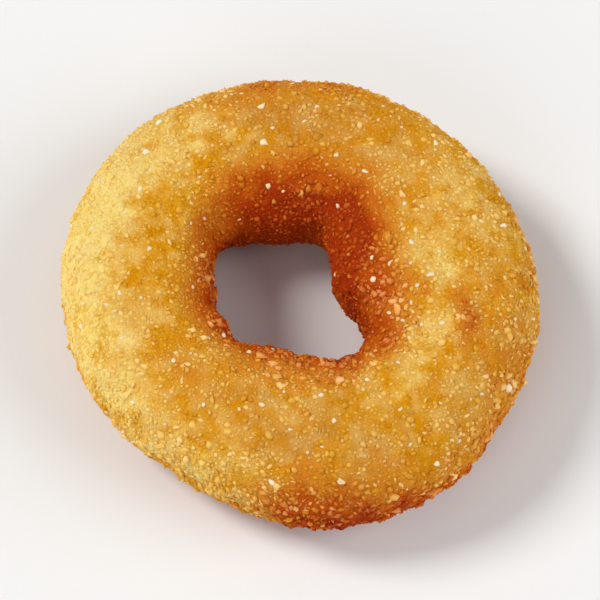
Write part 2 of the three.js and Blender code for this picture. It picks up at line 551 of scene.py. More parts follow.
class Groups:
    """The node groups that more than one finish uses, each built once."""

    CLOUDS: ClassVar[Range] = (0.36, 0.64)
    SPECKS: ClassVar[Range] = (0.38, 0.66)
    FLOURY: ClassVar[float] = 0.18
    FLOURY_MOTTLE: ClassVar[Range] = (0.45, 1.0)
    TOASTED: ClassVar[float] = 0.26
    TOASTED_MOTTLE: ClassVar[Range] = (0.55, 0.0)
    TOASTED_AMBER: ClassVar[float] = 0.55
    PALE_GUARD: ClassVar[float] = 1.3
    RICHNESS: ClassVar[Range] = (1.06, 0.985)
    STAGES: ClassVar[dict[str, Range]] = {"Amber": (0.0, 0.42), "Brown": (0.3, 0.78), "Dark": (0.68, 1.1)}
    PORES: ClassVar[float] = 0.6

    @staticmethod
    def _new(name: str, takes: dict[str, str], gives: dict[str, str]) -> tuple[Sheet, object, object]:
        """Starts a group.

        Args:
            name: The group's name.
            takes: Its inputs by name, each Float or Color.
            gives: Its outputs by name, each Float or Color.

        Returns:
            Its nodes, the sockets that bring its inputs and the sockets that take its outputs.
        """
        group = bpy.data.node_groups.new(name, "ShaderNodeTree")
        for way, sockets in (("INPUT", takes), ("OUTPUT", gives)):
            for socket, kind in sockets.items():
                group.interface.new_socket(socket, in_out=way, socket_type=f"NodeSocket{kind}")
        sheet = Sheet(group)
        return sheet, sheet.add("NodeGroupInput").outputs, sheet.add("NodeGroupOutput").inputs

    @staticmethod
    @cache
    def mottle() -> NodeTree:
        """Uneven frying: slow clouds and fine specks, as two masks.

        Returns:
            The group, with inputs Cloud Size and Speck Size and outputs Cloud and Speck.
        """
        takes = dict.fromkeys(("Cloud Size", "Speck Size"), "Float")
        sheet, given, out = Groups._new("fried mottle", takes, dict.fromkeys(("Cloud", "Speck"), "Float"))
        place = sheet.add("TexCoord").outputs["Object"]
        slow = {"Vector": place, "Scale": given["Cloud Size"], "Detail": 3.0}
        fine = {"Vector": place, "Scale": given["Speck Size"], "Detail": 2.0, "Roughness": 0.6}
        sheet.feed(out["Cloud"], sheet.spread(sheet.add("TexNoise", slow).outputs[0], *Groups.CLOUDS))
        sheet.feed(out["Speck"], sheet.spread(sheet.add("TexNoise", fine).outputs[0], *Groups.SPECKS))
        return sheet.tree

    @staticmethod
    @cache
    def frying() -> NodeTree:
        """The colour of fried coating, from pale through golden and amber to brown.

        Returns:
            The group, with a colour for each stage and output Color. Its masks are Paleness, which is
            less than 0 where golden is deeper, both partly painted light and shade, Browning, partly
            painted shade, and Mottle, which is 0 where the coat is toasted and its colour richest, and 1
            where it is floury.
        """
        stages = dict.fromkeys(("Golden", "Pale", "Deep", "Amber", "Brown", "Dark"), "Color")
        masks = dict.fromkeys(("Paleness", "Browning", "Mottle"), "Float")
        sheet, given, out = Groups._new("frying colour", stages | masks, {"Color": "Color"})
        pale, deep, paleness, mottle = (given[name] for name in ("Pale", "Deep", "Paleness", "Mottle"))
        colour = sheet.blend(paleness, given["Golden"], pale)
        colour = sheet.blend(sheet.times(paleness, -1.0), colour, deep)
        floury = sheet.times(sheet.spread(mottle, *Groups.FLOURY_MOTTLE), Groups.FLOURY)
        strength = sheet.times(sheet.rest(sheet.times(paleness, Groups.PALE_GUARD)), Groups.TOASTED)
        toasted = sheet.times(sheet.spread(mottle, *Groups.TOASTED_MOTTLE), strength)
        toast = sheet.blend(Groups.TOASTED_AMBER, deep, given["Amber"])
        colour = sheet.blend(toasted, sheet.blend(floury, colour, pale), toast)
        rich = {"Color": colour, "Saturation": sheet.ramp(mottle, *Groups.RICHNESS)}
        colour = sheet.add("HueSaturation", rich).outputs[0]
        for stage, (start, end) in Groups.STAGES.items():
            colour = sheet.blend(sheet.spread(given["Browning"], start, end), colour, given[stage])
        sheet.feed(out["Color"], colour)
        return sheet.tree

    @staticmethod
    @cache
    def grit() -> NodeTree:
        """The fine roughness of crumb, as a height for a Bump node.

        Returns:
            The group, with inputs Grain Size and Pore Size and output Height.
        """
        takes = dict.fromkeys(("Grain Size", "Pore Size"), "Float")
        sheet, given, out = Groups._new("crumb grit", takes, {"Height": "Float"})
        place = sheet.add("TexCoord").outputs["Object"]
        grain = sheet.add("TexVoronoi", {"Vector": place, "Scale": given["Grain Size"], "Randomness": 1.0})
        pore = sheet.add("TexNoise", {"Vector": place, "Scale": given["Pore Size"], "Detail": 3.0})
        pores = sheet.times(pore.outputs[0], Groups.PORES)
        sheet.feed(out["Height"], sheet.plus(sheet.rest(grain.outputs["Distance"]), pores))
        return sheet.tree


@dataclass(frozen=True)
class Skin:
    """What every finish has: its mottle, its range of roughness and the light that goes a little way in."""

    cloud_size: float
    speck_size: float
    roughness: Range
    inner_share: float
    inner_tint: tuple[float, float, float]
    inner_depth: float
    gloss: float

    def start(self, name: str) -> tuple[Material, Sheet, NodeSocket, NodeSocket]:
        """Starts a material with this skin.

        Args:
            name: The material's name.

        Returns:
            The material, its nodes, and the masks of its clouds and of its specks.
        """
        made = bpy.data.materials.new(name)
        made.use_nodes = True
        sheet = Sheet(made.node_tree)
        sizes = {"Cloud Size": self.cloud_size, "Speck Size": self.speck_size}
        cloud, speck = sheet.add("Group", sizes, node_tree=Groups.mottle()).outputs
        sheet.dress({
            "Roughness": sheet.ramp(speck, *self.roughness),
            "Subsurface Weight": self.inner_share,
            "Subsurface Radius": self.inner_tint,
            "Subsurface Scale": self.inner_depth,
            "Specular IOR Level": self.gloss,
        })
        return made, sheet, cloud, speck


@dataclass(frozen=True)
class Grit:
    """How gritty a finish is: the scales of its grains and pores, and how strongly and deeply they show."""

    grain_size: float
    pore_size: float
    strength: float
    depth: float

    def add_to(self, sheet: Sheet) -> NodeSocket:
        """Makes a material gritty.

        Args:
            sheet: The material's nodes.

        Returns:
            The socket of the grit's height.
        """
        sizes = {"Grain Size": self.grain_size, "Pore Size": self.pore_size}
        height = sheet.add("Group", sizes, node_tree=Groups.grit()).outputs["Height"]
        bump = sheet.add("Bump", {"Strength": self.strength, "Distance": self.depth, "Height": height})
        sheet.dress({"Normal": bump.outputs[0]})
        return height


@dataclass(frozen=True)
class Frying:
    """The stages of frying that every coated finish goes through."""

    pale: Colour = linear(244, 214, 126)
    # Deep also shows as painted shade, where the paleness mask is below 0.
    deep: Colour = linear(200, 141, 61)
    amber: Colour = linear(212, 132, 34)
    # Brown and dark are fried crust; deep in the hole the mask that reaches them also paints shade.
    brown: Colour = linear(190, 84, 8)
    dark: Colour = linear(160, 47, 5)

    CLOUD_BROWNING: ClassVar[float] = 0.08

    def add_to(self, sheet: Sheet, golden: object, paleness: object, cloud: object) -> NodeSocket:
        """Puts the frying colour into a material.

        Args:
            sheet: The material's nodes.
            golden: The colour where it is neither pale nor browned.
            paleness: The mask of the pale parts, partly painted highlight, and below 0 of the deeper parts,
                mostly painted shade.
            cloud: The mask of the clouds, which are a little browner.

        Returns:
            The colour's socket.
        """
        browning = sheet.plus(sheet.named("browning"), sheet.times(cloud, self.CLOUD_BROWNING))
        stages = {name.title(): colour for name, colour in asdict(self).items()}
        masks = {"Paleness": paleness, "Browning": browning, "Mottle": sheet.named("mottle")}
        values = {"Golden": golden} | stages | masks
        return sheet.add("Group", values, node_tree=Groups.frying()).outputs["Color"]


@dataclass(frozen=True)
class CoatFinish:
    """Fried batter and fine crumb, between and under the loose crumbs."""

    name: str = "fried coat"
    # The deeper batter between grains and the lighter crumb on them; through the relief and grit below they
    # also paint shade in the hollows and light on the crests.
    hollow: Colour = linear(210, 134, 26)
    crest: Colour = linear(229, 173, 66)
    frying: Frying = Frying()
    skin: Skin = Skin(420.0, 1900.0, (0.62, 0.82), 0.5, (1.0, 0.5, 0.2), 0.8 * MM, gloss=0.05)
    grit: Grit = Grit(2100.0, 3200.0, strength=1.0, depth=0.2 * MM)
    grit_crest: Range = (0.45, 1.15)
    # Painted shade and light: darker in the hollows of the relief and the grit, lighter on their crests.
    relief_shading: float = 0.34
    grit_tone_and_shade: float = 0.4
    mottle_tone: Range = (0.14, 0.36)
    crest_paleness: float = 1.7

    def material(self) -> Material:
        """Builds the material.

        Returns:
            The material of the coat.
        """
        made, sheet, cloud, _ = self.skin.start(self.name)
        crest = sheet.spread(self.grit.add_to(sheet), *self.grit_crest)
        # Painted shade in the hollows and painted light on the crests, with the random mottle.
        relief = sheet.times(sheet.named("relief"), self.relief_shading)
        high = sheet.plus(relief, sheet.times(crest, self.grit_tone_and_shade))
        high = sheet.plus(high, sheet.ramp(sheet.named("mottle"), *self.mottle_tone))
        golden = sheet.blend(high, self.hollow, self.crest)
        # Paleness, partly painted highlight, shows most on the crests.
        paleness = sheet.times(sheet.named("paleness"), sheet.times(high, self.crest_paleness))
        sheet.dress({"Base Color": self.frying.add_to(sheet, golden, paleness, cloud)})
        return made


@dataclass(frozen=True)
class CrumbFinish:
    """The finish of one kind of loose crumb, from its darker to its lighter grains."""

    name: str
    dark: Colour
    light: Colour
    frying: Frying = Frying(pale=linear(246, 213, 127))
    # A painted highlight, peach-coloured, for the tips of craggy browned crumbs.
    highlight_peach: Colour = linear(226, 142, 78)
    skin: Skin = Skin(600.0, 2600.0, (0.58, 0.80), 0.3, (1.0, 0.6, 0.3), 0.3 * MM, gloss=0.08)
    grit: Grit = Grit(3600.0, 5200.0, strength=0.5, depth=0.06 * MM)
    speck_tone: float = 0.2

    def material(self) -> Material:
        """Builds the material.

        Returns:
            The material of this kind of crumb.
        """
        made, sheet, cloud, speck = self.skin.start(self.name)
        self.grit.add_to(sheet)
        tone = sheet.plus(sheet.named("tone"), sheet.times(speck, self.speck_tone))
        golden = sheet.blend(tone, self.dark, self.light)
        colour = self.frying.add_to(sheet, golden, sheet.named("paleness"), cloud)
        # The painted peach highlight is laid over the crumb's colour on its tips.
        sheet.dress({"Base Color": sheet.blend(sheet.named("dusting"), colour, self.highlight_peach)})
        return made


PEACH = Frying(
    pale=linear(250, 212, 130),
    amber=linear(236, 168, 88),
    brown=linear(220, 138, 66),
    dark=linear(196, 104, 44),
)


@dataclass(frozen=True)
class SaltFinish:
    """Coarse salt: cloudy white grains with a faint warm cast."""

    name: str = "coarse salt"
    cloudy: Colour = linear(248, 192, 122)
    clear: Colour = linear(255, 226, 186)
    skin: Skin = Skin(1500.0, 4200.0, (0.28, 0.53), 0.6, (1.0, 0.8, 0.5), 0.8 * MM, gloss=0.5)
    cloud_tone: float = 0.3

    def material(self) -> Material:
        """Builds the material.

        Returns:
            The material of the salt grains.
        """
        made, sheet, cloud, _ = self.skin.start(self.name)
        tone = sheet.plus(sheet.named("tone"), sheet.times(cloud, self.cloud_tone))
        sheet.dress({"Base Color": sheet.blend(tone, self.cloudy, self.clear)})
        return made


def mesh_object(name: str, places: np.ndarray, faces: np.ndarray) -> Object:
    """Makes a smoothly shaded mesh in the scene.

    Args:
        name: The piece's name.
        places: Its corners, one row of three each.
        faces: Its faces, one row of corner numbers each.

    Returns:
        The new object.
    """
    mesh = bpy.data.meshes.new(name)
    count, sides = faces.shape
    mesh.vertices.add(len(places))
    mesh.vertices.foreach_set("co", places.astype(np.float32).ravel())
    mesh.loops.add(count * sides)
    mesh.loops.foreach_set("vertex_index", faces.astype(np.int32).ravel())
    mesh.polygons.add(count)
    mesh.polygons.foreach_set("loop_start", np.arange(0, count * sides, sides, dtype=np.int32))
    mesh.polygons.foreach_set("use_smooth", np.full(count, True))
    mesh.update(calc_edges=True)
    mesh.validate()
    piece = bpy.data.objects.new(name, mesh)
    bpy.context.scene.collection.objects.link(piece)
    return piece


def write_values(piece: Object, **values: np.ndarray) -> None:
    """Writes numbers for a mesh's corners as attributes.

    Args:
        piece: The mesh object.
        **values: One array of numbers for each attribute, by name.
    """
    for name, numbers in values.items():
        attribute = piece.data.attributes.new(name, "FLOAT", "POINT")
        attribute.data.foreach_set("value", numbers.astype(np.float32).ravel())


def write_map(piece: Object, corners: np.ndarray) -> None:
    """Writes the map that a piece's colours are baked through: two numbers for each corner of a face."""
    layer = piece.data.uv_layers.new(name=BAKE_MAP)
    layer.uv.foreach_set("vector", corners.astype(np.float32).ravel())


def put_on_ring(piece: Object, finish: Material) -> None:
    """Dresses a piece and lets it stand for the ring's solid.

    Args:
        piece: The mesh object.
        finish: Its material.
    """
    piece.data.materials.append(finish)
    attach(piece, BODY)
    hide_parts(SOLID)


@dataclass
class Coat:
    """The whole coated ring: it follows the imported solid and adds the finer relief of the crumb."""

    solid: Object
    frying: FryingAndPaintedLightMap
    steps_round: int = 452
    steps_section: int = 208
    middle_waves: int = 8
    softening: int = 4
    lump: float = 0.09 * MM
    lump_length: float = 2.4 * MM
    lump_relief: float = 0.25
    grain: float = 0.24 * MM
    grain_length: float = 1.2 * MM
    roughness: Range = (0.8, 0.9)
    bare_smoothness: float = 0.7
    mottle_tilt: tuple[float, float, float] = (0.6, 0.4, 0.9)
    mottle_lengths: Range = (3.6 * MM, 1.2 * MM)
    mottle_shares: Range = (0.46, 0.6)
    reach: float = 60.0 * MM
    map_margin: float = 0.006

    def _middle_line(self, tree: BVHTree, turns: np.ndarray, height: float) -> np.ndarray:
        """Finds the radius of the middle of the ring's thickness, with its bumps evened out.

        Args:
            tree: The solid's faces, to look for with rays.
            turns: Turns in radians.
            height: How high the rays run.

        Returns:
            One radius for each turn.
        """
        found = []
        for turn in turns:
            out = Vector((math.cos(turn), math.sin(turn), 0.0))
            lift = Vector((0.0, 0.0, height))
            outer = tree.ray_cast(out * self.reach + lift, -out)[0]
            inner = tree.ray_cast(lift, out)[0]
            found.append((outer.xy.length + inner.xy.length) / 2)
        waves = np.fft.rfft(np.array(found))
        waves[self.middle_waves :] = 0
        return np.fft.irfft(waves, len(turns))

    def _trace(self) -> tuple[np.ndarray, np.ndarray, np.ndarray]:
        """Follows the solid with rays from the middle of its thickness.

        Returns:
            The distances, and the middles and directions that they were measured from.
        """
        tree = BVHTree.FromObject(self.solid, bpy.context.evaluated_depsgraph_get())
        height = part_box(SOLID)[1].z / 2
        turns = np.arange(self.steps_round) * 2 * math.pi / self.steps_round
        sections = np.arange(self.steps_section) * 2 * math.pi / self.steps_section
        radii = self._middle_line(tree, turns, height)
        outward = np.stack([np.cos(turns), np.sin(turns), np.zeros(len(turns))], axis=1)
        middles = outward * radii[:, None] + np.array([0.0, 0.0, height])
        ways = (
            np.cos(sections)[None, :, None] * outward[:, None, :]
            + np.sin(sections)[None, :, None] * np.array([0.0, 0.0, 1.0])
        )
        distances = np.empty((self.steps_round, self.steps_section))
        for i, middle in enumerate(middles):
            start = Vector(middle)
            for j, way in enumerate(ways[i]):
                distances[i, j] = tree.ray_cast(start, Vector(way))[3]
        return distances, middles, ways

    def _softened(self, grid: np.ndarray) -> np.ndarray:
        """Rounds the solid's facets.

        Args:
            grid: Distances, round the ring and round its section.

        Returns:
            The same grid, evened out a little.
        """
        for _ in range(self.softening):
            for axis in (0, 1):
                grid = 0.5 * grid + 0.25 * (np.roll(grid, 1, axis) + np.roll(grid, -1, axis))
        return grid

    @staticmethod
    def normals(places: np.ndarray) -> np.ndarray:
        """The outward directions of a closed grid.

        Args:
            places: Points, round the ring and round its section.

        Returns:
            Unit vectors, as a grid of the same shape.
        """
        along = np.roll(places, -1, 0) - np.roll(places, 1, 0)
        up = np.roll(places, -1, 1) - np.roll(places, 1, 1)
        out = np.cross(along, up)
        return out / np.linalg.norm(out, axis=2, keepdims=True)

    def _mottle(self, places: np.ndarray) -> np.ndarray:
        """Where the crumb lies thinner and oilier, and where it lies thicker and drier.

        Args:
            places: Points of the coat.

        Returns:
            0 for the deepest yellow to 1 for the lightest straw colour.
        """
        askew = np.array(Euler(self.mottle_tilt).to_matrix())
        long, short = self.mottle_lengths
        slow = Lattice(13).smooth(places @ askew, long)
        quick = Lattice(14).smooth(places @ askew @ askew, short)
        return np.clip(0.5 + self.mottle_shares[0] * slow + self.mottle_shares[1] * quick, 0, 1)

    def surface(self) -> Surface:
        """Works out the coat's surface, its frying and its painted light and shade.

        Returns:
            The finished surface.
        """
        distances, middles, ways = self._trace()
        places = middles[:, None, :] + ways * self._softened(distances)[:, :, None]
        turn = np.repeat(np.arange(self.steps_round) * 360 / self.steps_round, self.steps_section)
        section = np.tile(np.arange(self.steps_section) * 360 / self.steps_section, self.steps_round)
        spots = Spots(places.reshape(-1, 3), turn, section)
        bareness, cragginess = self.frying.bareness(spots), self.frying.cragginess(spots)
        lumps = Lattice(11).smooth(spots.places, self.lump_length)
        grains = Lattice(12).grains(spots.places, self.grain_length)
        even, craggy = self.roughness
        rough = (even + craggy * cragginess) * (1 - self.bare_smoothness * bareness)
        rise = (self.lump * lumps + self.grain * (grains - MIDDLE_GRAIN)) * rough
        raised = places + self.normals(places) * rise.reshape(places.shape[:2])[:, :, None]
        raised = np.clip(raised, *(np.array(corner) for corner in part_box(SOLID)))
        return Surface(
            places=raised,
            normals=self.normals(raised),
            relief=np.clip(grains + self.lump_relief * lumps, 0, 1),
            browning=self.frying.browning(spots),
            paleness=self.frying.paleness(spots),
            bareness=bareness,
            cragginess=cragginess,
            mottle=self._mottle(spots.places),
        )

    def _steps(self) -> list[np.ndarray]:
        """The number of every step round the ring and round its section, as two grids."""
        return np.meshgrid(np.arange(self.steps_round), np.arange(self.steps_section), indexing="ij")

    def _faces(self) -> np.ndarray:
        """The grid's faces, facing out.

        Returns:
            Four corner numbers for each face.
        """
        i, j = self._steps()
        after_i, after_j = (i + 1) % self.steps_round, (j + 1) % self.steps_section
        corners = ((i, j), (after_i, j), (after_i, after_j), (i, after_j))
        return np.stack([a * self.steps_section + b for a, b in corners], axis=-1).reshape(-1, 4)

    def _map(self) -> np.ndarray:
        """Lays the ring out flat as four quarter turns, two beside two.

        Returns:
            Map places for each corner of each face.
        """
        quarter = self.steps_round // 4
        i, j = self._steps()
        block, within = i // quarter, i % quarter
        shift = np.array([(0, 0), (1, 0), (1, 1), (0, 1)])
        across = (within[:, :, None] + shift[:, 0]) / quarter
        up = (j[:, :, None] + shift[:, 1]) / self.steps_section
        room = 0.5 - 2 * self.map_margin
        column, row = block % 2, block // 2
        u = 0.5 * column[:, :, None] + self.map_margin + room * across
        v = 0.5 * row[:, :, None] + self.map_margin + room * up
        return np.stack([u, v], axis=-1)

    def build(self, surface: Surface, finish: CoatFinish) -> Object:
        """Makes the coat's mesh and dresses it.

        Args:
            surface: Where the coat lies.
            finish: Its finish.

        Returns:
            The finished piece.
        """
        piece = mesh_object("crumb_coat", surface.flat_places, self._faces())
        write_map(piece, self._map())
        traits = ("relief", "browning", "paleness", "mottle")
        write_values(piece, **{name: getattr(surface, name) for name in traits})
        put_on_ring(piece, finish.material())
        return piece


class GrainShape(Enum):
    """How finely a grain is cut, by the number of its faces."""

    CHIP = 8
    CRUMB = 20
    LUMP = 80

    def core(self) -> tuple[np.ndarray, np.ndarray]:
        """The grain before it is made uneven.

        Returns:
            The corners and faces of a ball of radius 1.
        """
        if self is GrainShape.CHIP:
            octants = product((0, 3), repeat=3)
            faces = [(a, 1 + b, 2 + c)[:: 1 if (a + b + c) % 2 == 0 else -1] for a, b, c in octants]
            return np.concatenate([np.eye(3), -np.eye(3)]), np.array(faces)
        ball = bmesh.new()
        bmesh.ops.create_icosphere(ball, subdivisions=1 if self is GrainShape.CRUMB else 2, radius=1.0)
        corners = np.array([corner.co for corner in ball.verts])
        faces = np.array([[corner.index for corner in face.verts] for face in ball.faces])
        ball.free()
        return corners, faces


@dataclass
class Places:
    """Where grains stand: their places, directions and sizes, and the coat's frying, painted light and
    shade and relief there.
    """

    at: np.ndarray
    out: np.ndarray
    size: np.ndarray
    browning: np.ndarray
    paleness: np.ndarray
    cragginess: np.ndarray
    mottle: np.ndarray
    relief: np.ndarray

    def __len__(self) -> int:
        """How many places there are."""
        return len(self.at)

    def where(self, chosen: np.ndarray) -> "Places":
        """Only the chosen places, by True or a number for each place to keep."""
        return Places(**{part.name: getattr(self, part.name)[chosen] for part in fields(self)})


@dataclass
class Sowing:
    """Spreads grains evenly over the coat, no two nearer than their sizes allow."""

    surface: Surface
    seed: int
    smallest: float
    largest: float
    bias: float = 2.0
    spacing: float = 0.9
    coarsening: float = 0.35
    clearance: float = 0.8
    facing_down: Range = (0.55, 0.95)
    thinning: float = 0.75

    def _share(self) -> np.ndarray:
        """How thickly each place of the coat is strewn: less below, none where it is bare."""
        below = eased(-self.surface.flat_normals[:, 2], *self.facing_down)
        return (1 - self.thinning * below) * (1 - self.surface.bareness)

    def _candidates(self, many: int, draw: np.random.Generator) -> Places:
        """Draws places at random, by area.

        Args:
            many: How many to draw.
            draw: The source of random numbers.

        Returns:
            The places, in random order.
        """
        grid = self.surface.places
        along = np.roll(grid, -1, 0) - grid
        up = np.roll(grid, -1, 1) - grid
        area = np.linalg.norm(np.cross(along, up), axis=2).ravel() * self._share()
        cells = draw.choice(len(area), many, p=area / area.sum())
        shift = draw.random((many, 2, 1))
        at = self.surface.flat_places[cells]
        at = at + shift[:, 0] * along.reshape(-1, 3)[cells] + shift[:, 1] * up.reshape(-1, 3)[cells]
        size = self.smallest + (self.largest - self.smallest) * draw.random(many) ** self.bias
        names = ("browning", "paleness", "cragginess", "mottle", "relief")
        traits = {name: getattr(self.surface, name)[cells] for name in names}
        size = size * (1 + self.coarsening * traits["cragginess"])
        return Places(at=at, out=self.surface.flat_normals[cells], size=size, **traits)

    def clear(self, places: Places, others: Places) -> Places:
        """Drops the places that other grains cover.

        Args:
            places: The places to look through.
            others: The grains to keep clear of.

        Returns:
            The places that are left.
        """
        tree = KDTree(len(others))
        for number, at in enumerate(others.at):
            tree.insert(at, number)
        tree.balance()
        nearest = [tree.find(at)[1:] for at in places.at]
        number, apart = np.array([n for n, _ in nearest]), np.array([a for _, a in nearest])
        return places.where(apart > self.clearance * (places.size + others.size[number]) / 2)

    def sow(self, many: int, tries: int) -> Places:
        """Keeps the places that have room.

        Args:
            many: The most places to keep.
            tries: How many places to draw.

        Returns:
            The places that were kept.
        """
        drawn = self._candidates(tries, np.random.default_rng(self.seed))
        cell = self.largest * (1 + self.coarsening) * self.spacing
        taken: dict[tuple[int, int, int], list[int]] = {}
        kept: list[int] = []
        cells = np.floor(drawn.at / cell).astype(int)
        around = list(product((-1, 0, 1), repeat=3))
        at, size = drawn.at.tolist(), drawn.size.tolist()
        for number, (x, y, z) in enumerate(cells.tolist()):
            if len(kept) == many:
                break
            here, own = at[number], size[number]
            near = (k for dx, dy, dz in around for k in taken.get((x + dx, y + dy, z + dz), ()))
            if all(math.dist(here, at[k]) > self.spacing * (own + size[k]) / 2 for k in near):
                taken.setdefault((x, y, z), []).append(number)
                kept.append(number)
        return drawn.where(np.array(kept))


@dataclass
class Grains:
    """One kind of loose grain on the coat, all of it in one mesh."""

    name: str
    seed: int
    shape: GrainShape
    sink: float = 0.25
    sink_spread: float = 0.27
    bedding: float = 0.15
    flatness: float = 0.75
    unevenness: float = 0.42
    stretch: float = 0.38
    breaks: int = 3
    break_depth: Range = (0.4, 0.8)
    jitter: float = 0.04
    craggy_jitter: float = 4.0
    paleness_share: float = 1.0
    # Painted light and shade on each grain: tips lighter and less brown, roots darker and browner.
    tips: float = 0.26
    tone: float = 0.13
    tone_spread: float = 0.36
    mottle_tone: float = 0.3
    # Painted shade and light: grains darker in the coat's hollows, lighter on its crests.
    relief_shading: float = 0.45
    pale_flattening: float = 0.5
    # A painted peach highlight on the upward-facing tips of craggy, browned grains.
    highlight_cragginess_power: int = 3
    highlight_slope: Range = (0.05, 0.5)
    highlight_on_tips: float = 0.5
    map_triangle: tuple[Range, ...] = ((0.15, 0.15), (0.85, 0.15), (0.5, 0.85))

    def _broken(self, ball: np.ndarray, draw: np.random.Generator) -> np.ndarray:
        """Breaks flat sides off each grain.

        Args:
            ball: The corners of every grain.
            draw: The source of random numbers.

        Returns:
            The corners, pressed back where they lay beyond a break.
        """
        for _ in range(self.breaks):
            way = draw.normal(size=(len(ball), 1, 3))
            way /= np.linalg.norm(way, axis=2, keepdims=True)
            limit = draw.uniform(*self.break_depth, (len(ball), 1, 1))
            beyond = np.sum(ball * way, axis=2, keepdims=True) - limit
            ball = ball - np.maximum(beyond, 0) * way
        return ball

    @staticmethod
    def _turned(draw: np.random.Generator, many: int) -> np.ndarray:
        """Draws random turns in space.

        Args:
            draw: The source of random numbers.
            many: How many to draw.

        Returns:
            A matrix for each.
        """
        quaternion = draw.normal(size=(many, 4))
        w, x, y, z = (quaternion / np.linalg.norm(quaternion, axis=1, keepdims=True)).T
        rows = (
            (1 - 2 * (y * y + z * z), 2 * (x * y - w * z), 2 * (x * z + w * y)),
            (2 * (x * y + w * z), 1 - 2 * (x * x + z * z), 2 * (y * z - w * x)),
            (2 * (x * z - w * y), 2 * (y * z + w * x), 1 - 2 * (x * x + y * y)),
        )
        return np.array(rows).transpose(2, 0, 1)

    def _shaped(self, corners: np.ndarray, many: int, draw: np.random.Generator) -> np.ndarray:
        """Breaks, stretches and turns a ball for each grain.

        Args:
            corners: The corners of the ball.
            many: How many grains there are.
            draw: The source of random numbers.

        Returns:
            The corners of every grain, round its own middle.
        """
        ball = np.repeat(corners[None], many, axis=0)
        ball = ball * (1 + self.unevenness * (draw.random((many, len(corners), 1)) * 2 - 1))
        ball = self._broken(ball, draw) * draw.uniform(1 - self.stretch, 1 + self.stretch, (many, 1, 3))
        return np.einsum("nij,nkj->nki", self._turned(draw, many), ball)

    def _fry(self, piece: Object, places: Places, tip: np.ndarray, draw: np.random.Generator) -> None:
        """Writes each grain's frying on its corners, with painted light and shade: its tips are lighter,
        less brown and carry a painted highlight, and its roots are darker.

        Args:
            piece: The grains' mesh.
            places: Where they stand.
            tip: How far out each corner of each grain stands.
            draw: The source of random numbers.
        """
        many = len(places)
        jitter = self.jitter * (1 + self.craggy_jitter * places.cragginess)
        browning = places.browning + jitter * draw.normal(size=many)
        flattened = 1 - self.pale_flattening * np.clip(places.paleness, 0, 1)
        crest = (places.relief - MIDDLE_GRAIN) * flattened
        tone = self.tone_spread * draw.random(many) + self.mottle_tone * places.mottle
        # Painted shade and light from the coat's relief under the grain.
        tone = tone + self.relief_shading * crest + self.tone
        # Painted highlight, on craggy browned grains that face upwards.
        dusting = places.cragginess**self.highlight_cragginess_power * places.browning * draw.random(many)
        dusting = (dusting * eased(places.out[:, 2], *self.highlight_slope))[:, None]
        whole = np.ones_like(tip)
        write_values(
            piece,
            mottle=places.mottle[:, None] * whole,
            tone=tone[:, None] + self.tips * tip,
            dusting=dusting + self.highlight_on_tips * dusting * tip,
            browning=browning[:, None] - self.tips * tip,
            paleness=(places.paleness * self.paleness_share)[:, None] * whole,
        )

    def _map(self, many: int, faces: int) -> np.ndarray:
        """Gives each grain a small square of the map, its faces laid over each other in it.

        Args:
            many: How many grains there are.
            faces: How many faces each one has.

        Returns:
            Map places for each corner of each face.
        """
        side = math.ceil(math.sqrt(many))
        start = np.stack([np.arange(many) % side, np.arange(many) // side], axis=1)[:, None, None, :]
        return ((start + np.array(self.map_triangle)[None, None]) / side).repeat(faces, axis=1)

    def build(self, places: Places, finish: Material) -> Object:
        """Makes the grains' mesh and dresses it.

        Args:
            places: Where they stand.
            finish: Their material.

        Returns:
            The finished piece.
        """
        draw = np.random.default_rng(self.seed)
        corners, faces = self.shape.core()
        many = len(places)
        ball = self._shaped(corners, many, draw)
        lean = places.out[:, None, :]
        height = np.sum(ball * lean, axis=2, keepdims=True)
        ball = ball - (1 - self.flatness) * height * lean
        half = places.size[:, None, None] / 2
        sink = self.sink + self.sink_spread * (2 * draw.random((many, 1, 1)) - 1)
        sink += self.bedding * (1 - places.cragginess[:, None, None])
        spots = places.at[:, None, :] + ball * half - lean * half * sink
        low, high = (np.array(corner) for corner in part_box(SOLID))
        spots += np.maximum(low - spots.min(axis=1), 0)[:, None, :]
        spots -= np.maximum(spots.max(axis=1) - high, 0)[:, None, :]
        numbers = (faces[None] + (np.arange(many) * len(corners))[:, None, None]).reshape(-1, 3)
        piece = mesh_object(self.name, spots.reshape(-1, 3), numbers)
        write_map(piece, self._map(many, len(faces)))
        self._fry(piece, places, height[:, :, 0], draw)
        put_on_ring(piece, finish)
        return piece


class Fry(Enum):
    """How far a crumb has fried; the browned ones also stand where the coat is painted as shaded."""

    PALE = "pale"
    GOLDEN = "golden"
    AMBER = "amber"
    BROWNED = "browned"


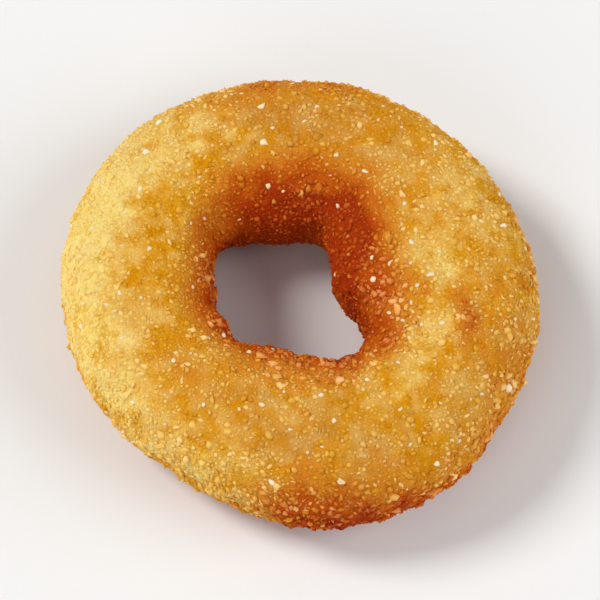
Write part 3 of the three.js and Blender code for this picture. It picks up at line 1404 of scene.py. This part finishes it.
@dataclass(frozen=True)
class CrumbLayer:
    """One size of crumb, strewn evenly over the coat."""

    name: str
    shape: GrainShape
    seed: int
    many: int
    smallest: float
    largest: float
    spacing: float
    sink: float
    tries: int = 4
    browned_from: float = 0.5
    browned_spread: float = 0.2
    pale_share: float = 0.07
    pale_with_paleness: float = 0.45
    pale_with_cragginess: float = 0.12
    pale_less_browned: float = 0.85
    amber_share: float = 0.28
    amber_with_browning_and_shade: float = 0.8
    amber_with_oiliness: float = 0.5
    muted_paleness: float = 0.6

    def _sorted(self, sown: Places) -> dict[Fry, np.ndarray]:
        """Sorts the crumbs by their frying and by the painted light and shade of the coat where they lie.

        Args:
            sown: Every crumb's place.

        Returns:
            For each degree of frying, which places it takes.
        """
        chance, other = np.random.default_rng(self.seed + 1).random((2, len(sown)))
        browned = sown.browning + self.browned_spread * (chance - 0.5) > self.browned_from
        paleness = np.maximum(sown.paleness, 0)
        paler = self.pale_share + self.pale_with_paleness * paleness
        paler = paler + self.pale_with_cragginess * sown.cragginess
        pale = paler * (1 - self.pale_less_browned * sown.browning) > chance
        deeper = self.amber_share + self.amber_with_browning_and_shade * (sown.browning - paleness)
        deeper = deeper + self.amber_with_oiliness * (0.5 - sown.mottle)
        browned &= ~pale
        amber = ~browned & ~pale & (deeper > other)
        golden = ~browned & ~pale & ~amber
        return {Fry.PALE: pale, Fry.GOLDEN: golden, Fry.AMBER: amber, Fry.BROWNED: browned}

    def build(self, surface: Surface, salted: Places, materials: dict[Fry, Material]) -> list[Object]:
        """Makes the layer, one piece for each degree of frying.

        Args:
            surface: Where the coat lies.
            salted: Where the salt lies.
            materials: The material for each degree of frying.

        Returns:
            The finished pieces.
        """
        sowing = Sowing(surface, self.seed, self.smallest, self.largest, spacing=self.spacing)
        sown = sowing.clear(sowing.sow(self.many, tries=self.many * self.tries), salted)
        pieces = []
        for step, (fry, chosen) in enumerate(self._sorted(sown).items(), start=2):
            grains = Grains(
                name=f"{self.name}_{fry.value}_crumbs",
                seed=self.seed + step,
                shape=self.shape,
                sink=self.sink,
                paleness_share=1.0 if fry is Fry.PALE else self.muted_paleness,
            )
            pieces.append(grains.build(sown.where(chosen), materials[fry]))
        return pieces


@dataclass
class Crumbs:
    """All the loose crumbs on the coat."""

    surface: Surface
    salted: Places
    layers: tuple[CrumbLayer, ...] = (
        CrumbLayer("fine", GrainShape.CHIP, 100, 30000, 0.28 * MM, 0.44 * MM, 0.8, 0.2),
        CrumbLayer("medium", GrainShape.CRUMB, 200, 11500, 0.52 * MM, 0.98 * MM, 0.74, 0.16),
    )
    coarse: int = 5500
    coarse_tries: int = 8800
    coarse_sizes: Range = (0.7 * MM, 1.1 * MM)
    coarse_shares: Range = (0.02, 0.5)
    coarse_pale: float = 0.34
    coarse_seeds: tuple[int, int, int] = (42, 78, 79)
    finishes: tuple[tuple[Fry, CrumbFinish], ...] = (
        (Fry.PALE, CrumbFinish("pale crumb", linear(241, 188, 92), linear(253, 210, 138), PEACH)),
        (Fry.GOLDEN, CrumbFinish("golden crumb", linear(214, 142, 34), linear(240, 191, 92))),
        (Fry.AMBER, CrumbFinish("amber crumb", linear(198, 124, 28), linear(226, 168, 70))),
        (Fry.BROWNED, CrumbFinish("browned crumb", linear(192, 102, 18), linear(226, 156, 60))),
    )

    def _coarse(self, materials: dict[Fry, Material]) -> list[Object]:
        """Makes the coarse crumbs, most of them where the coat is craggy, a third of them pale.

        Args:
            materials: The material for each degree of frying.

        Returns:
            The finished pieces.
        """
        sow_seed, choose_seed, pale_seed = self.coarse_seeds
        sowing = Sowing(self.surface, sow_seed, *self.coarse_sizes)
        sown = sowing.sow(self.coarse, self.coarse_tries)
        chance = np.random.default_rng(choose_seed).random(len(sown))
        everywhere, craggy = self.coarse_shares
        kept = sowing.clear(sown.where(chance < everywhere + craggy * sown.cragginess), self.salted)
        pale = np.random.default_rng(pale_seed).random(len(kept)) < self.coarse_pale
        pieces = []
        for fry, chosen, seed in ((Fry.AMBER, ~pale, 56), (Fry.PALE, pale, 57)):
            grains = Grains(f"coarse_{fry.value}_crumbs", seed, GrainShape.LUMP, sink=0.3, tips=0.24)
            pieces.append(grains.build(kept.where(chosen), materials[fry]))
        return pieces

    def build(self) -> list[Object]:
        """Makes the crumbs, layer by layer.

        Returns:
            The finished pieces.
        """
        materials = {fry: finish.material() for fry, finish in self.finishes}
        pieces = []
        for layer in self.layers:
            pieces += layer.build(self.surface, self.salted, materials)
        return pieces + self._coarse(materials)


@dataclass
class Salt:
    """Coarse salt, thinly strewn, more of it on top."""

    surface: Surface
    many: int = 380
    tries: int = 570
    smallest: float = 0.55 * MM
    largest: float = 1.25 * MM
    shares: Range = (0.1, 0.65)
    sow_seed: int = 61
    choose_seed: int = 62

    def places(self) -> Places:
        """Chooses where the salt lies.

        Returns:
            The places of its grains.
        """
        sowing = Sowing(self.surface, self.sow_seed, self.smallest, self.largest, bias=2.2, spacing=2.2)
        sown = sowing.sow(self.many, self.tries)
        chance = np.random.default_rng(self.choose_seed).random(len(sown))
        everywhere, on_top = self.shares
        return sown.where(chance < everywhere + on_top * np.clip(sown.out[:, 2], 0, 1))

    def build(self, places: Places) -> Object:
        """Makes the salt.

        Args:
            places: Where its grains lie.

        Returns:
            The finished piece.
        """
        grains = Grains(
            name="salt_grains",
            seed=63,
            shape=GrainShape.LUMP,
            bedding=0.1,
            flatness=0.8,
            unevenness=0.08,
            stretch=0.15,
            breaks=6,
        )
        return grains.build(places, SaltFinish().material())


@dataclass(frozen=True)
class SoftSun:
    """A wide light from far away: it lights the whole floor evenly and casts a soft shadow."""

    name: str
    azimuth: float
    elevation: float
    width: float
    strength: float
    colour: tuple[float, float, float] = (1.0, 1.0, 1.0)

    def build(self) -> None:
        """Makes the light."""
        lamp = bpy.data.lights.new(self.name, "SUN")
        lamp.angle = math.radians(self.width)
        lamp.energy = self.strength
        lamp.color = self.colour
        lit = bpy.data.objects.new(self.name, lamp)
        lit.rotation_euler = (-direction(self.azimuth, self.elevation)).to_track_quat("-Z", "Y").to_euler()
        bpy.context.scene.collection.objects.link(lit)

    def on_floor(self) -> np.ndarray:
        """The light that a level white surface sends back, in red, green and blue."""
        return np.array(self.colour) * self.strength * math.sin(math.radians(self.elevation)) / math.pi


@dataclass
class Studio:
    """The pale floor, the soft light and the camera."""

    low: Vector
    high: Vector
    elevation: float = 64.2
    distance: float = 0.5
    picture_width: float = 0.076
    sensor: float = 36.0
    clip: Range = (0.01, 20.0)
    floor_side: float = 12.0
    floor_white: float = 0.8
    sky: float = 0.32
    suns: tuple[SoftSun, ...] = (
        SoftSun("key", -107, 45, 21.0, 2.10, (1.0, 0.985, 0.955)),
        SoftSun("right fill", 80, 32, 44.0, 1.50),
        SoftSun("front fill", -30, 30, 37.0, 0.66),
    )

    def _floor(self) -> None:
        """Lays the floor."""
        half = self.floor_side / 2
        corners = np.array([(-half, -half, 0.0), (half, -half, 0.0), (half, half, 0.0), (-half, half, 0.0)])
        floor = mesh_object("floor", corners, np.array([[0, 1, 2, 3]]))
        paint = bpy.data.materials.new("pale floor")
        paint.use_nodes = True
        white = (*3 * (self.floor_white,), 1.0)
        Sheet(paint.node_tree).dress({"Base Color": white, "Roughness": 1.0, "Specular IOR Level": 0.0})
        floor.data.materials.append(paint)
        floor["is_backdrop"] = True

    def _backdrop(self) -> None:
        """Fills the room with soft white light, and shows the floor's own white beyond its far edge."""
        world = bpy.data.worlds.new("studio")
        world.use_nodes = True
        sheet = Sheet(world.node_tree)
        light = world.node_tree.nodes["Background"]
        light.inputs["Color"].default_value = (1.0, 1.0, 1.0, 1.0)
        light.inputs["Strength"].default_value = self.sky
        seen = self.floor_white * (self.sky + sum(sun.on_floor() for sun in self.suns))
        far = sheet.add("Background", {"Color": (*seen, 1.0), "Strength": 1.0})
        camera_ray = sheet.add("LightPath").outputs["Is Camera Ray"]
        mixed = sheet.add("MixShader", {0: camera_ray, 1: light.outputs[0], 2: far.outputs[0]})
        sheet.feed(world.node_tree.nodes["World Output"].inputs["Surface"], mixed.outputs[0])
        bpy.context.scene.world = world

    def _camera(self, aim: Vector) -> None:
        """Sets up the camera.

        Args:
            aim: The point in the middle of the picture.
        """
        lens = bpy.data.cameras.new("camera")
        lens.sensor_width = self.sensor
        lens.lens = self.sensor * self.distance / self.picture_width
        lens.clip_start, lens.clip_end = self.clip
        camera = bpy.data.objects.new("camera", lens)
        back = direction(0.0, self.elevation)
        camera.location = aim + back * self.distance
        camera.rotation_euler = (-back).to_track_quat("-Z", "Y").to_euler()
        bpy.context.scene.collection.objects.link(camera)
        bpy.context.scene.camera = camera

    def build(self) -> None:
        """Makes the floor, the lights and the camera."""
        self._floor()
        self._backdrop()
        for sun in self.suns:
            sun.build()
        self._camera((self.low + self.high) / 2)
        bpy.context.scene.view_settings.view_transform = "Standard"


def main() -> None:
    """Builds the ring and its studio."""
    logging.basicConfig(level=logging.INFO, format="%(name)s: %(message)s")
    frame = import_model()
    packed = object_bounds()
    coat = Coat(frame["nodes"][SOLID], FryingAndPaintedLightMap())
    surface = coat.surface()
    salt = Salt(surface)
    salted = salt.places()
    pieces = [coat.build(surface, CoatFinish()), *Crumbs(surface, salted).build(), salt.build(salted)]
    for piece in pieces:
        log.info("%s: %d faces", piece.name, len(piece.data.polygons))
    Studio(*packed).build()


if __name__ == "__main__":
    main()
